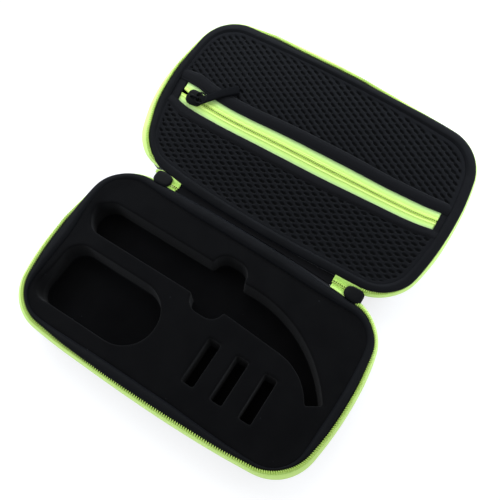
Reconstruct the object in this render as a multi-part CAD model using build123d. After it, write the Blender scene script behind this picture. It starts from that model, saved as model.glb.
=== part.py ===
from build123d import *
import os
from math import atan2, degrees, radians, sqrt, tan

# Electric shaver hard case: two moulded EVA halves joined by a cloth hinge and a two-slider zip.
# Millimetres. +X runs along the hinge, +Y points at the hinge and the lid, +Z is up.
# The origin is the middle of the base's flat underside. The lid is drawn shut and then opened.

# --- outline of both halves, over the zip tape ---
case_length = 225.0
case_width = 133.6
end_crown = 10.2
side_crown = 5.4
corner_radius = 32.0

# --- moulded halves ---
half_depth = 31.0
shell_wall = 4.0
shell_draft = 7.0
shell_edge_radius = 13.0
lining_thickness = 0.8

# --- padded rim and zip along the mating edge ---
rim_inset = 3.5
rim_width = 7.0
rim_skirt = 6.0
rim_round = 3.1
tape_thickness = 0.7
tape_band = 5.0
tape_hem = 2.5
edge_step = 2.0
coil_width = 1.8
coil_height = 2.4
coil_proud = 0.25
coil_round = 0.8

# --- hinge ---
rim_gap = 0.8
hinge_behind_rim = 1.4
hinge_flat_setback = 1.0
hinge_relief_depth = 5.2
zip_free_half_length = 0.391 * case_length
hinge_cloth_half_length = 0.272 * case_length
hinge_cloth_thickness = 0.8
hinge_cloth_drop = 1.1
hinge_leaf_height = 8.0
hinge_leaf_drop = 7.0
hinge_fold_rise = 4.9
hinge_fold_shoulder = 1.6
cloth_clearance = 0.3
valley_reach = 8.0
opening_angle = 166.0

# --- closed ends of the main zip, and its two sliders ---
zip_end_gap = 0.5
zip_end_margin = 3.5
zip_end_thickness = 0.6
zip_end_drop = 1.6
main_slider_left_margin = 14.0
main_slider_right_margin = 9.5
zip_split_setback = 0.2
zip_split_width = 2.6
zip_end_coil_round = 0.5
main_slider_width = 7.8
main_bridge_width = 1.4
main_bridge_height = 2.1

# --- slider pattern shared by the main zip and the pocket zip ---
slider_length = 12.0
slider_tail_narrowing = 1.6
slider_plate = 1.0
slider_channel = 2.4
slider_flange = 0.8
slider_tape_slot = 1.3
slider_post_length = 2.2
slider_post_width = 1.8
slider_shoulder = 2.5
slider_corner_radius = 2.4
slider_back_round = 0.6
slider_mouth = 1.4
bridge_thickness = 0.8
bridge_inner_length = 5.0

# --- main pullers ---
main_puller_length = 18.0
main_puller_neck = 3.6
main_puller_tip = 4.8
main_puller_thickness = 1.6
main_puller_bar = 1.1
main_puller_window = 3.6
main_puller_side_bar = 0.8

# --- tray insert, its pockets in shares of the case's length and width ---
tray_drop = 2.5
tray_clearance = 0.5
tray_foot_radius = 9.0
pocket_draft = 2.0
pocket_lip_round = 1.0
dock_end_margin = 17.2
dock_side_margin = 20.5
dock_right = -0.0716 * case_length
dock_back = -0.012 * case_width
dock_left_round = 0.27
dock_right_round = 0.49
dock_depth = 19.0
handle_end_margin = 15.5
handle_right = 0.0113 * case_length
handle_front = 0.0671 * case_width
handle_back = 0.2561 * case_width
handle_end_radius = 0.086 * case_width
shaver_depth = 18.0
shaver_corner_radius = 0.0104 * case_width
recess_left = -0.0445 * case_length
recess_right = 0.065 * case_length
recess_radius = 0.0705 * case_width
recess_front = handle_front - recess_radius
recess_back = handle_back + recess_radius
head_root_x = 0.0424 * case_length
head_back_root = (head_root_x, 0.2391 * case_width)
head_back_bend = (0.2785 * case_length, 0.1737 * case_width)
head_back_margin = 15.8
head_front_start = (0.2567 * case_length, 0.0423 * case_width)
head_front_margin = 25.2
slot_width = 0.04 * case_length
slot_length = 0.238 * case_width
slot_round = 1.0
slot_pitch = 0.0916 * case_length
slot_count = 3
slot_first_x = 0.0909 * case_length
slot_centre_y = -0.1886 * case_width
slot_depth = 18.0

# --- zipped mesh pocket in the lid ---
pocket_zip_left = -0.431 * case_length
pocket_zip_right = 0.444 * case_length
pocket_zip_centre_y = -0.8
pocket_zip_tilt = -2.0
pocket_tape_width = 5.9
pocket_tape_thickness = 0.7
pocket_tape_drop = 3.0
pocket_coil_width = 1.3
pocket_coil_height = 1.6
pocket_coil_gap = 0.1
pocket_split_length = 8.2
pocket_binding_width = 6.5
pocket_binding_thickness = 2.4
pocket_binding_drop = 1.4
mesh_thickness = 1.6
mesh_drop = 2.0
pocket_slider_margin = 11.5
pocket_slider_width = 9.0
pocket_bridge_width = 1.6
pocket_bridge_height = 2.8
ring_radius = 4.0
ring_wire = 1.2
puller_length = 30.0
puller_root_width = 5.0
puller_tip_width = 7.5
puller_thickness = 1.4
puller_angle = -48.0
puller_sleeve_length = 2.0
puller_sleeve_bore = 0.9
puller_sleeve_wall = 0.35

# --- places worked out from the sizes above ---
dock_left = dock_end_margin - case_length / 2
dock_front = dock_side_margin - case_width / 2
dock_left_radius = dock_left_round * (dock_back - dock_front)
dock_right_radius = dock_right_round * (dock_back - dock_front)
handle_left = handle_end_margin - case_length / 2
head_back_tip = (case_length / 2 - head_back_margin, -0.0575 * case_width)
head_front_tip = (case_length / 2 - head_front_margin, -0.1035 * case_width)
rim_top = half_depth
tape_foot = rim_top - tape_band
shell_top = rim_top - edge_step
rim_line = case_width / 2 - rim_inset
hinge_y = rim_line + hinge_behind_rim
hinge_z = rim_top + rim_gap / 2
hinge_flat_y = rim_line - hinge_flat_setback
rim_slope = degrees(atan2(rim_inset - tape_thickness, tape_band - edge_step))
tray_top = rim_top - tray_drop
tray_inset = rim_inset + rim_width + tray_clearance
chain_z = rim_top - zip_end_drop
zip_end_start = hinge_cloth_half_length + zip_end_gap
zip_end_reach = zip_free_half_length - zip_end_margin
main_slider_left_reach = zip_free_half_length - main_slider_left_margin
main_slider_right_reach = zip_free_half_length - main_slider_right_margin
pocket_split_x = pocket_zip_left + pocket_split_length
pocket_slider_x = pocket_zip_left + pocket_slider_margin
smooth_angle = 5.0
outline_tolerance = 0.01
hinge_axis = Axis((0, hinge_y, hinge_z), (1, 0, 0))
mating_plane = Plane((0, 0, hinge_z))


def crown_radius(half_chord, rise):
    """Radius of the arc that rises by this much over twice the half chord."""
    return (half_chord**2 + rise**2) / (2 * rise)


def corner_centre(side_centre, end_centre, side_radius, end_radius):
    """Centre of the corner arc, which touches the side's and the end's arcs from inside."""
    reach_side = side_radius - corner_radius
    reach_end = end_radius - corner_radius
    span = end_centre - side_centre
    along = (reach_side**2 - reach_end**2 + span.length**2) / (2 * span.length)
    across = sqrt(reach_side**2 - along**2)
    unit = span.normalized()
    return side_centre + unit * along + Vector(unit.Y, -unit.X) * across


def case_outline(inset=0.0):
    """The crowned rectangle that both halves share, drawn inside the zip tape's edge by the inset."""
    half_length = case_length / 2
    half_width = case_width / 2
    side_radius = crown_radius(half_length - end_crown, side_crown)
    end_radius = crown_radius(half_width - side_crown, end_crown)
    side_centre = Vector(0, half_width - side_radius)
    end_centre = Vector(half_length - end_radius, 0)
    corner = corner_centre(side_centre, end_centre, side_radius, end_radius)
    side_touch = corner + (corner - side_centre).normalized() * (corner_radius - inset)
    end_touch = corner + (corner - end_centre).normalized() * (corner_radius - inset)
    outward = ((corner - side_centre).normalized() + (corner - end_centre).normalized()).normalized()
    corner_middle = corner + outward * (corner_radius - inset)
    edges = []
    for turn_x, turn_y in ((1, 1), (-1, 1), (-1, -1), (1, -1)):
        points = [Vector(p.X * turn_x, p.Y * turn_y) for p in (side_touch, corner_middle, end_touch)]
        edges.append(ThreePointArc(*points))
    for turn in (1, -1):
        far_x = turn * (half_length - inset)
        far_y = turn * (half_width - inset)
        end = Vector(turn * end_touch.X, end_touch.Y)
        side = Vector(side_touch.X, turn * side_touch.Y)
        edges.append(ThreePointArc(end, (far_x, 0), Vector(end.X, -end.Y)))
        edges.append(ThreePointArc(side, (0, far_y), Vector(-side.X, side.Y)))
    return make_face(edges)


def outline_prism(inset, low, high):
    return extrude(Pos(0, 0, low) * case_outline(inset), high - low)


def block(x_range, y_range, z_range):
    """A box between two limits on each axis, used to trim and to cut."""
    limits = (x_range, y_range, z_range)
    size = [high - low for low, high in limits]
    middle = [(high + low) / 2 for low, high in limits]
    return Pos(*middle) * Box(*size)


def drafted_prism(inset, low, high, slope):
    """Rises from the inset outline at the low level, drawn in by the slope, in degrees."""
    top_inset = inset + (high - low) * tan(radians(slope))
    bottom = Pos(0, 0, low) * case_outline(inset)
    top = Pos(0, 0, high) * case_outline(top_inset)
    return loft([bottom, top], ruled=True)


def half_form(inset, foot, edge_radius=0.0):
    """Drafted walls up to the tape's foot, then a brow that slopes in under the tape."""
    foot_inset = inset + (tape_foot - foot) * tan(radians(shell_draft))
    walls = drafted_prism(foot_inset, foot, tape_foot, -shell_draft)
    form = walls + drafted_prism(inset, tape_foot, shell_top, rim_slope)
    if edge_radius:
        underside = form.faces().sort_by(Axis.Z)[0]
        form = fillet(underside.edges(), edge_radius) & hinge_side_trim(inset - tape_thickness)
    return form


def hinge_side_trim(inset):
    """Everything in front of the drafted flat that the shell has along its hinge."""
    reach = 2 * case_length
    slab = Box(reach, reach, reach, align=(Align.CENTER, Align.MAX, Align.CENTER))
    return Pos(0, hinge_flat_y - inset, tape_foot) * Rot(-shell_draft, 0, 0) * slab


def hinge_side_block(low, high):
    """The stretch along the hinge that the open zip doesn't reach."""
    return block(
        (-zip_free_half_length, zip_free_half_length), (0, case_width), (low, high)
    )


def half_shell():
    """EVA foam moulded between two cloths, stepped down along the hinge for the sliders."""
    outer = half_form(tape_thickness, 0, shell_edge_radius)
    cavity = half_form(tape_thickness + shell_wall, shell_wall, shell_edge_radius - shell_wall)
    relief = hinge_side_block(rim_top - hinge_relief_depth, rim_top)
    relief -= outline_prism(rim_inset, 0, rim_top)
    return outer - cavity - relief


def half_lining():
    """The knitted lining laminated to the inside of the shell, up to the rim's skirt."""
    face_inset = tape_thickness + shell_wall
    outer = half_form(face_inset, shell_wall, shell_edge_radius - shell_wall)
    inner = half_form(
        face_inset + lining_thickness,
        shell_wall + lining_thickness,
        shell_edge_radius - shell_wall - lining_thickness,
    )
    below_rim = block((-case_length, case_length), (-case_width, case_width), (0, rim_top - rim_skirt))
    return (outer - inner) & below_rim


def half_rim(shell):
    """The padded cloth roll that caps the shell's edge."""
    roll = outline_prism(rim_inset, rim_top - rim_skirt, rim_top)
    roll -= outline_prism(rim_inset + rim_width, rim_top - rim_skirt, rim_top)
    crown = roll.faces().sort_by(Axis.Z)[-1]
    return fillet(crown.edges(), rim_round) - shell


def half_zip_tape():
    """One side's tape, sewn over the shell's brow round the three free sides."""
    hem = tape_foot - tape_hem
    tape = half_form(0, hem) - half_form(tape_thickness, hem)
    return tape - hinge_side_block(hem, rim_top)


def half_zip_coil(tape, rim):
    """One side's coil, a plain oval tube along the tape's upper edge."""
    top = rim_top + coil_proud
    coil = outline_prism(rim_inset - coil_width, top - coil_height, top)
    coil -= outline_prism(rim_inset, top - coil_height, top)
    ends = coil.faces().sort_by(Axis.Z)
    coil = fillet(ends[0].edges() + ends[-1].edges(), coil_round)
    return coil - tape - rim - hinge_side_block(0, top + coil_height)


def to_lid(half_part):
    """Turn a part drawn as on the base into the lid's, swung open from shut."""
    return mirror(half_part, about=mating_plane).rotate(hinge_axis, -opening_angle)


def valley_strip(x_range, low, high):
    """A strip across the hinge that butts against the base's rim and just clears the lid's."""
    strip = block(x_range, (0, hinge_y + valley_reach), (low, high))
    lid_side = to_lid(outline_prism(rim_inset - cloth_clearance, rim_top - rim_skirt, rim_top))
    return strip - outline_prism(rim_inset, low, high) - lid_side


# --- tray insert ---


def dock_outline():
    """Charger pocket: small corners at the left, a full round at the right."""
    face = block_face(dock_left, dock_right, dock_front, dock_back)
    left = face.vertices().group_by(Axis.X)[0]
    face = fillet(left, dock_left_radius)
    right = face.vertices().group_by(Axis.X)[-1]
    return fillet(right, dock_right_radius)


def block_face(left, right, front, back):
    middle = Pos((left + right) / 2, (front + back) / 2)
    return middle * Rectangle(right - left, back - front)


def handle_outline():
    """The shaver handle's channel, rounded at its left end."""
    face = block_face(handle_left, handle_right, handle_front, handle_back)
    return fillet(face.vertices().group_by(Axis.X)[0], handle_end_radius)


def recess_outline():
    """Finger recess across the channel, to lift the shaver out."""
    face = block_face(recess_left, recess_right, recess_front, recess_back)
    return fillet(face.vertices(), recess_radius)


def head_outline():
    """The curved neck and head of the shaver, narrowing to a blunt tip."""
    front_root = (head_root_x, handle_front)
    neck = Line(front_root, head_front_start)
    edges = [
        ThreePointArc(head_back_root, head_back_bend, head_back_tip),
        Line(head_back_tip, head_front_tip),
        TangentArc(head_front_start, head_front_tip, tangent=neck % 1),
        neck,
        Line(front_root, head_back_root),
    ]
    return make_face(edges)


def shaver_outline():
    """Handle channel, finger recess and head in one run, with its inside corners eased."""
    face = handle_outline() + recess_outline() + head_outline()
    sharp = [v for v in face.vertices() if shaver_corner(v, face)]
    return fillet(sharp, shaver_corner_radius)


def shaver_corner(vertex, face):
    """True where two edges of the run meet at an angle."""
    tangents = []
    for edge in face.edges():
        for spot in (0, 1):
            if (edge.position_at(spot) - Vector(*vertex)).length < outline_tolerance:
                tangents.append(edge.tangent_at(spot))
    turn = tangents[0].get_angle(tangents[1])
    return min(turn, 180 - turn) > smooth_angle


def slot_outline(index):
    face = Rectangle(slot_width, slot_length)
    return Pos(slot_first_x + index * slot_pitch, slot_centre_y) * fillet(face.vertices(), slot_round)


def pocket(outline, depth):
    """A drafted pocket sunk into the tray from its top face."""
    return extrude(Pos(0, 0, tray_top) * outline, depth, dir=(0, 0, -1), taper=pocket_draft)


def tray_insert():
    """Moulded foam insert with velvet face: charger, shaver and comb pockets."""
    foot = shell_wall + lining_thickness
    foot_inset = tray_inset + (tray_top - foot) * tan(radians(shell_draft))
    body = drafted_prism(foot_inset, foot, tray_top, -shell_draft)
    body = fillet(body.faces().sort_by(Axis.Z)[0].edges(), tray_foot_radius)
    body -= pocket(dock_outline(), dock_depth)
    body -= pocket(shaver_outline(), shaver_depth)
    for index in range(slot_count):
        body -= pocket(slot_outline(index), slot_depth)
    rim_edges = body.faces().sort_by(Axis.Z)[-1].edges()
    return fillet(rim_edges, pocket_lip_round)


# --- hinge cloths and the closed ends of the main zip ---


def hinge_cloth_inner():
    """The cloth strip seen between the two rims."""
    low = rim_top - hinge_cloth_drop - hinge_cloth_thickness
    x_range = (-hinge_cloth_half_length, hinge_cloth_half_length)
    return valley_strip(x_range, low, low + hinge_cloth_thickness)


def flat_y(height):
    """How far back the drafted flat along the hinge lies at a height."""
    return hinge_flat_y - (tape_foot - height) * tan(radians(shell_draft))


def fold_y(height):
    """How far back the plane midway between the base and the open lid lies at a height."""
    return hinge_y + (hinge_z - height) * tan(radians(90 - opening_angle / 2))


def hinge_fold_half(gap):
    """Half of the outside cloth: a leaf on a half's flat, up behind the rim and over to the fold."""
    leaf_top = rim_top - hinge_leaf_drop
    leaf_foot = leaf_top - hinge_leaf_height
    fold_top = leaf_top + hinge_fold_rise
    fold_foot = fold_top - hinge_cloth_thickness
    climb_foot = rim_top - rim_skirt
    climb_front = rim_line + cloth_clearance
    climb_back = climb_front + hinge_cloth_thickness
    behind = gap + hinge_cloth_thickness
    points = [
        (flat_y(leaf_foot) + gap, leaf_foot),
        (flat_y(leaf_top) + gap, leaf_top),
        (climb_front, climb_foot),
        (climb_front, fold_top - hinge_fold_shoulder),
        (fold_y(fold_top), fold_top),
        (fold_y(fold_foot), fold_foot),
        (climb_back, fold_foot - hinge_fold_shoulder),
        (climb_back, climb_foot),
        (flat_y(leaf_top) + behind, leaf_top),
        (flat_y(leaf_foot) + behind, leaf_foot),
    ]
    profile = Plane.YZ * make_face(Polyline(*points, close=True))
    return extrude(profile, hinge_cloth_half_length, both=True)


def hinge_cloth_outer():
    """The outside cloth, from its leaf on the base's flat over the fold to the lid's flat."""
    return hinge_fold_half(0) + to_lid(hinge_fold_half(cloth_clearance))


def zip_end_coil(slider_reach):
    """The closed coil from the hinge out to the slider, drawn at the right-hand end."""
    coil = block(
        (zip_end_start, slider_reach + zip_split_setback),
        (hinge_y - pocket_coil_width, hinge_y + pocket_coil_width),
        (chain_z - pocket_coil_height / 2, chain_z + pocket_coil_height / 2),
    )
    return fillet(coil.edges().filter_by(Axis.X), zip_end_coil_round)


def zip_end_tape(slider_reach, coil):
    """Both sides' tape at the right-hand end, parting in a V under the slider's post."""
    low = chain_z - zip_end_thickness / 2
    parting_tip = slider_reach + zip_split_setback - zip_split_width
    strip = valley_strip((zip_end_start, zip_end_reach), low, low + zip_end_thickness)
    parting = make_face(
        Polyline(
            (parting_tip, hinge_y),
            (zip_end_reach, hinge_y - zip_split_width),
            (zip_end_reach, hinge_y + zip_split_width),
            close=True,
        )
    )
    return strip - coil - extrude(Pos(0, 0, low) * parting, zip_end_thickness)


# --- sliders and pullers ---


def slider_outline(width):
    """A slider's plate in plan: full width at the nose, narrower at the tail."""
    tail = width - slider_tail_narrowing
    face = make_face(
        Polyline(
            (-slider_length / 2, -tail / 2),
            (slider_shoulder, -width / 2),
            (slider_length / 2, -tail / 2),
            (slider_length / 2, tail / 2),
            (slider_shoulder, width / 2),
            (-slider_length / 2, tail / 2),
            close=True,
        )
    )
    return fillet(face.vertices(), slider_corner_radius)


def slider_body(width, bridge_width, bridge_height):
    """A coil-zip slider about its channel's centre: nose towards +X, bridge towards +Z."""
    outline = slider_outline(width)
    half_channel = slider_channel / 2
    plate = extrude(Pos(0, 0, half_channel) * outline, slider_plate)
    back = fillet(plate.faces().sort_by(Axis.Z)[-1].edges(), slider_back_round)
    flange_height = (slider_channel - slider_tape_slot) / 2
    wall = outline - offset(outline, -slider_flange)
    flange = extrude(Pos(0, 0, half_channel - flange_height) * wall, flange_height)
    mouth = slider_length / 2 - slider_mouth
    flange &= block((-mouth, mouth), (-width, width), (0, half_channel))
    half = back + flange
    post_nose = slider_length / 2 - slider_flange / 2
    post = block(
        (post_nose - slider_post_length, post_nose),
        (-slider_post_width / 2, slider_post_width / 2),
        (-half_channel, half_channel),
    )
    post = fillet(post.edges().filter_by(Axis.Z), slider_post_width / 3)
    bridge = slider_bridge(bridge_width, bridge_height)
    return half + mirror(half, about=Plane.XY) + post + bridge


def slider_bridge(width, height):
    """The arch on a slider's plate that holds the puller."""
    foot = slider_channel / 2 + slider_plate
    half_span = bridge_inner_length / 2 + bridge_thickness
    arch = block((-half_span, half_span), (-width / 2, width / 2), (foot, foot + height + bridge_thickness))
    shoulders = arch.edges().filter_by(Axis.Y).group_by(Axis.Z)[-1]
    arch = fillet(shoulders, bridge_thickness)
    opening = block(
        (-bridge_inner_length / 2, bridge_inner_length / 2), (-width, width), (foot, foot + height)
    )
    return arch - opening


def main_puller():
    """A tapered metal puller hanging from its crossbar, which is the origin, along Y."""
    bar = Rot(90, 0, 0) * Cylinder(main_puller_bar / 2, main_puller_neck)
    shoulder = main_puller_bar / 2 + main_puller_window + main_puller_side_bar
    face = make_face(
        Polyline(
            (-main_puller_neck / 2, 0),
            (-main_puller_neck / 2, -shoulder),
            (-main_puller_tip / 2, -main_puller_length + main_puller_tip / 2),
            (-main_puller_tip / 2, -main_puller_length),
            (main_puller_tip / 2, -main_puller_length),
            (main_puller_tip / 2, -main_puller_length + main_puller_tip / 2),
            (main_puller_neck / 2, -shoulder),
            (main_puller_neck / 2, 0),
            close=True,
        )
    )
    tip = face.vertices().group_by(Axis.Y)[0]
    face = fillet(tip, main_puller_tip / 3)
    plate = extrude(Plane.YZ * face, main_puller_thickness / 2, both=True)
    window = block(
        (-main_puller_thickness, main_puller_thickness),
        (-main_puller_neck / 2 + main_puller_side_bar, main_puller_neck / 2 - main_puller_side_bar),
        (-main_puller_bar / 2 - main_puller_window, main_puller_neck),
    )
    return plate - window + bar


def main_slider_place(x):
    """Where a main slider is parked: nose away from the hinge, bridge on the outside of the case."""
    turn = Rot(180, 0, 0) if x > 0 else Rot(180, 0, 180)
    return Pos(x, hinge_y, chain_z) * turn


def main_puller_place(x):
    """The bar's resting height inside the main slider's bridge."""
    drop = slider_channel / 2 + slider_plate + main_bridge_height / 2
    return Pos(x, hinge_y, chain_z - drop)


# --- zipped mesh pocket, drawn on a half that faces up and then turned into the lid ---


def along_pocket_zip():
    """The pocket zip's own frame: X along the zip, Y across it, Z level with the rim's top."""
    return Pos(0, pocket_zip_centre_y, rim_top) * Rot(0, 0, pocket_zip_tilt)


def pocket_band(u_range, v_range, drop, thickness):
    """A flat piece of the pocket, trimmed to the rim's inner edge."""
    band = along_pocket_zip() * block(u_range, v_range, (-drop - thickness, -drop))
    low = rim_top - drop - thickness
    return band & outline_prism(rim_inset + rim_width, low, low + thickness)


def pocket_tape(side):
    """One side's tape, from the zip's open end at the left to its closed end."""
    inner = pocket_coil_gap / 2 + pocket_coil_width
    outer = inner + pocket_tape_width
    v_range = (inner, outer) if side > 0 else (-outer, -inner)
    return pocket_band((pocket_zip_left, pocket_zip_right), v_range, pocket_tape_drop, pocket_tape_thickness)


def pocket_coil(side):
    """One side's row of closed coil, from the slider's post to the right-hand end."""
    inner = pocket_coil_gap / 2
    outer = inner + pocket_coil_width
    v_range = (inner, outer) if side > 0 else (-outer, -inner)
    drop = pocket_tape_drop + (pocket_tape_thickness - pocket_coil_height) / 2
    return pocket_band((pocket_split_x, pocket_zip_right), v_range, drop, pocket_coil_height)


def pocket_binding(side):
    """The plain cloth strip sewn between the tape and the mesh."""
    inner = pocket_coil_gap / 2 + pocket_coil_width + pocket_tape_width
    outer = inner + pocket_binding_width
    v_range = (inner, outer) if side > 0 else (-outer, -inner)
    u_range = (-case_length / 2, case_length / 2)
    return pocket_band(u_range, v_range, pocket_binding_drop, pocket_binding_thickness)


def pocket_end_tab(side):
    """The plain cloth tab that closes the pocket past the end of its zip."""
    half_width = pocket_coil_gap / 2 + pocket_coil_width + pocket_tape_width
    u_range = (pocket_zip_right, case_length / 2) if side > 0 else (-case_length / 2, pocket_zip_left)
    return pocket_band(u_range, (-half_width, half_width), pocket_binding_drop, pocket_binding_thickness)


def mesh_panel(side):
    """Air mesh from the binding to the rim."""
    inner = pocket_coil_gap / 2 + pocket_coil_width + pocket_tape_width + pocket_binding_width
    v_range = (inner, case_width) if side > 0 else (-case_width, -inner)
    return pocket_band((-case_length / 2, case_length / 2), v_range, mesh_drop, mesh_thickness)


def pocket_slider_place():
    """The parked pocket slider: nose to the left, bridge facing out of the pocket."""
    chain = -pocket_tape_drop - pocket_tape_thickness / 2
    return along_pocket_zip() * Pos(pocket_slider_x, 0, chain) * Rot(0, 0, 180)


def ring_place():
    """The ring's centre, lying over the slider's tail from the middle of the bridge."""
    rise = slider_channel / 2 + slider_plate + pocket_bridge_height / 2
    chain = -pocket_tape_drop - pocket_tape_thickness / 2
    return along_pocket_zip() * Pos(pocket_slider_x + ring_radius, 0, chain + rise)


def pocket_puller():
    """A flat tapered strap on a sleeve round the ring's wire, along +X from the ring's centre."""
    sleeve_radius = puller_sleeve_bore + puller_sleeve_wall
    root = ring_radius + (puller_sleeve_bore + sleeve_radius) / 2
    face = make_face(
        Polyline(
            (root, -puller_sleeve_length / 2),
            (root + puller_root_width, -puller_root_width / 2),
            (root + puller_length, -puller_tip_width / 2),
            (root + puller_length, puller_tip_width / 2),
            (root + puller_root_width, puller_root_width / 2),
            (root, puller_sleeve_length / 2),
            close=True,
        )
    )
    tip = face.vertices().group_by(Axis.X)[-1]
    face = fillet(tip, puller_tip_width / 4)
    strap = extrude(face, puller_thickness / 2, both=True)
    across = Pos(ring_radius, 0, 0) * Rot(90, 0, 0)
    sleeve = across * Cylinder(sleeve_radius, puller_sleeve_length)
    return strap + sleeve - across * Cylinder(puller_sleeve_bore, 2 * puller_sleeve_length)


# --- the pieces, one file each ---


def base_pieces():
    shell = half_shell()
    rim = half_rim(shell)
    tape = half_zip_tape()
    return {
        "base_shell": shell,
        "base_lining": half_lining(),
        "base_rim": rim,
        "base_zip_tape": tape,
        "base_zip_coil": half_zip_coil(tape, rim),
    }


def lid_pieces(base):
    """The lid's half is the base's turned over; the mesh pocket is its own."""
    half = {
        "lid_shell": base["base_shell"],
        "lid_lining": base["base_lining"],
        "lid_rim": base["base_rim"],
        "lid_zip_tape": base["base_zip_tape"],
        "lid_zip_coil": base["base_zip_coil"],
        "mesh_panel_hinge_side": mesh_panel(1),
        "mesh_panel_front_side": mesh_panel(-1),
        "pocket_binding_hinge_side": pocket_binding(1),
        "pocket_binding_front_side": pocket_binding(-1),
        "pocket_tape_hinge_side": pocket_tape(1),
        "pocket_tape_front_side": pocket_tape(-1),
        "pocket_coil_hinge_side": pocket_coil(1),
        "pocket_coil_front_side": pocket_coil(-1),
        "pocket_end_tab_left": pocket_end_tab(-1),
        "pocket_end_tab_right": pocket_end_tab(1),
        "pocket_slider": pocket_slider_place()
        * slider_body(pocket_slider_width, pocket_bridge_width, pocket_bridge_height),
        "pocket_ring": ring_place() * Torus(ring_radius, ring_wire / 2),
        "pocket_puller": ring_place() * Rot(0, 0, puller_angle - pocket_zip_tilt) * pocket_puller(),
    }
    return {name: to_lid(piece) for name, piece in half.items()}


def hinge_pieces():
    """The hinge's cloths, then the closed end of the main zip and its slider at either end."""
    left_coil = zip_end_coil(main_slider_left_reach)
    right_coil = zip_end_coil(main_slider_right_reach)
    left_tape = zip_end_tape(main_slider_left_reach, left_coil)
    slider = slider_body(main_slider_width, main_bridge_width, main_bridge_height)
    puller = main_puller()
    return {
        "hinge_cloth_inner": hinge_cloth_inner(),
        "hinge_cloth_outer": hinge_cloth_outer(),
        "zip_end_coil_left": mirror(left_coil, about=Plane.YZ),
        "zip_end_coil_right": right_coil,
        "zip_end_tape_left": mirror(left_tape, about=Plane.YZ),
        "zip_end_tape_right": zip_end_tape(main_slider_right_reach, right_coil),
        "main_slider_left": main_slider_place(-main_slider_left_reach) * slider,
        "main_slider_right": main_slider_place(main_slider_right_reach) * slider,
        "main_puller_left": main_puller_place(-main_slider_left_reach) * puller,
        "main_puller_right": main_puller_place(main_slider_right_reach) * puller,
    }


os.makedirs("parts", exist_ok=True)
all_pieces = base_pieces()
all_pieces.update(lid_pieces(all_pieces))
all_pieces["tray_insert"] = tray_insert()
all_pieces.update(hinge_pieces())
for node_name, piece in all_pieces.items():
    export_step(piece, "parts/" + node_name + ".step")
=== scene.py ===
import bpy
import math
from mathutils import Matrix, Vector, noise
from mathutils.kdtree import KDTree


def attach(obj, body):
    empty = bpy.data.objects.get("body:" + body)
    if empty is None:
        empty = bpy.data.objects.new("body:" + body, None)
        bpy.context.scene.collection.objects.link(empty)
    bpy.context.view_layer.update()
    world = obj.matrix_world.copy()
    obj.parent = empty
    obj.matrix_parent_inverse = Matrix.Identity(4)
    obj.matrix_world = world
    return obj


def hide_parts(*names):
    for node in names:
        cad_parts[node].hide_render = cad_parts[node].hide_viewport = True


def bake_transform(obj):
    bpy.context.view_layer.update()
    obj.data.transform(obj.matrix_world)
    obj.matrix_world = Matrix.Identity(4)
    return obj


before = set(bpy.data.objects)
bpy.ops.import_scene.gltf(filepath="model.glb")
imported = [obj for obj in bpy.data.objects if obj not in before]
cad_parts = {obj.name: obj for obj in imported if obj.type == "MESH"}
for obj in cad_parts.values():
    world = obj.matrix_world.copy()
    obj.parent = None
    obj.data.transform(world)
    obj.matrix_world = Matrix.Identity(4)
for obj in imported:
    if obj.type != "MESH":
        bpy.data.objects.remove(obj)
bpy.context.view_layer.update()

# --- Table and studio ---
# A matt white laminate table top, a white room, and one large soft lamp behind the left shoulder.
# The table is pale enough to go white and keeps the case's soft shadow.


def linear(code):
    """An sRGB hex colour as linear red, green, blue and alpha."""
    parts = [int(code[k : k + 2], 16) / 255 for k in (0, 2, 4)]
    return [c / 12.92 if c <= 0.04045 else ((c + 0.055) / 1.055) ** 2.4 for c in parts] + [1.0]


def add(tree, kind, settings=(), links=()):
    """One shader node, with its settings and its incoming links."""
    node = tree.nodes.new("ShaderNode" + kind)
    for key, value in dict(settings).items():
        if isinstance(key, str) and hasattr(node, key):
            setattr(node, key, value)
        else:
            node.inputs[key].default_value = value
    for key, socket in dict(links).items():
        tree.links.new(node.inputs[key], socket)
    return node


scene = bpy.context.scene
scene.view_settings.view_transform = "Standard"

case_middle = Vector((0, 0.07, 0))
room_level = 0.58
table_size = 6.0
table_drop = Vector((0, 0, 0.0002))
table_glow = 0.72

world = bpy.data.worlds.new("white_room")
world.use_nodes = True
scene.world = world
tree = world.node_tree
tree.nodes.clear()
path = add(tree, "LightPath")
straight = {0: path.outputs["Is Camera Ray"], 1: path.outputs["Is Transmission Ray"]}
seen = add(tree, "Math", {"operation": "MAXIMUM"}, straight)
room = add(tree, "Background", {"Color": linear("F4F6FA"), "Strength": room_level})
white = add(tree, "Background", {"Color": linear("FFFFFF"), "Strength": 1.0})
either = add(tree, "MixShader", links={0: seen.outputs[0], 1: room.outputs[0], 2: white.outputs[0]})
add(tree, "OutputWorld", links={"Surface": either.outputs[0]})

half = table_size / 2
corners = [(-half, -half, 0), (half, -half, 0), (half, half, 0), (-half, half, 0)]
table_mesh = bpy.data.meshes.new("table_top")
table_mesh.from_pydata(corners, [], [(0, 1, 2, 3)])
table = bpy.data.objects.new("table_top", table_mesh)
table.location = case_middle - table_drop
scene.collection.objects.link(table)
laminate = bpy.data.materials.new("white_laminate_matt")
laminate.use_nodes = True
tree = laminate.node_tree
tree.nodes.clear()
path = add(tree, "LightPath")
face = add(tree, "BsdfDiffuse", {"Color": linear("FAFAFA"), "Roughness": 0.0})
shade = add(tree, "BsdfDiffuse", {"Color": linear("A8A8A8"), "Roughness": 0.0})
glow = add(tree, "Emission", {"Color": linear("FFFFFF"), "Strength": table_glow})
lifted = add(tree, "AddShader", links={0: shade.outputs[0], 1: glow.outputs[0]})
either = {0: path.outputs["Is Camera Ray"], 1: face.outputs[0], 2: lifted.outputs[0]}
surface = add(tree, "MixShader", links=either)
add(tree, "OutputMaterial", links={"Surface": surface.outputs[0]})
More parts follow.
